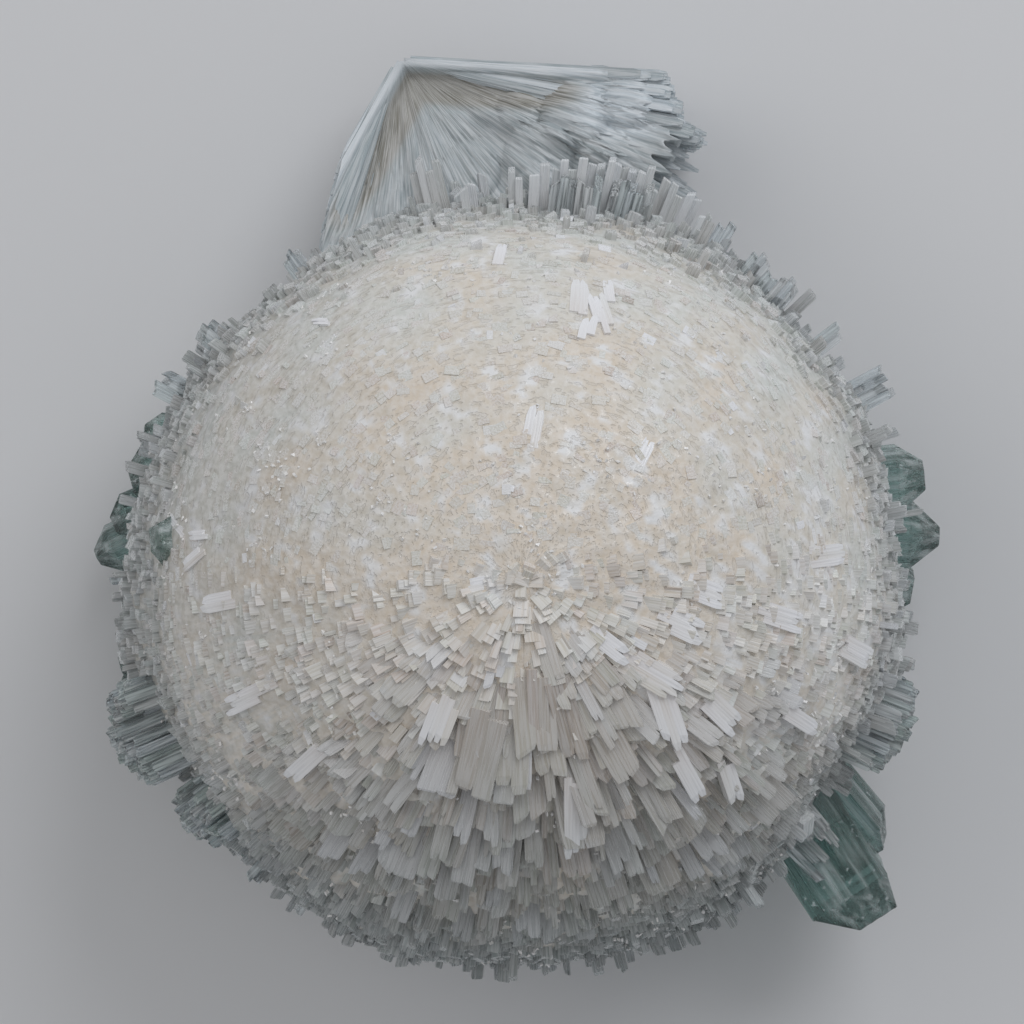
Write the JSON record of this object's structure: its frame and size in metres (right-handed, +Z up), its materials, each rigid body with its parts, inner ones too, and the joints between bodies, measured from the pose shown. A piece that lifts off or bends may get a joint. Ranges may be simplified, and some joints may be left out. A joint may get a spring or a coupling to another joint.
{
  "type": "scolecite spray mineral specimen",
  "caption": "Domed ball of radiating white prismatic crystals with a smaller fan behind it and pale green blocky crystals at its rim, cut flat at the back to rest on.",
  "frame": {"origin": "on the flat cut that the specimen rests on, under the middle of the dome", "axes": "+Z up out of the cut through the dome, +Y towards the second spray behind the ball, +X to the right of the ball seen from above"},
  "size_m": [0.0878, 0.0944, 0.0613],
  "materials": {
    "scolecite": "milky, silky to glassy prisms",
    "apophyllite": "clear pale green, glassy"
  },
  "bodies": {
    "root": {"scolecite_ball": "scolecite", "scolecite_fan": "scolecite", "apophyllite_point": "apophyllite", "apophyllite_green_end": "apophyllite", "apophyllite_left_wing": "apophyllite", "apophyllite_left_pyramid": "apophyllite", "apophyllite_left_beads": "apophyllite", "apophyllite_foot": "apophyllite", "apophyllite_right_wing": "apophyllite", "apophyllite_inset": "apophyllite"}
  },
  "joints": []
}
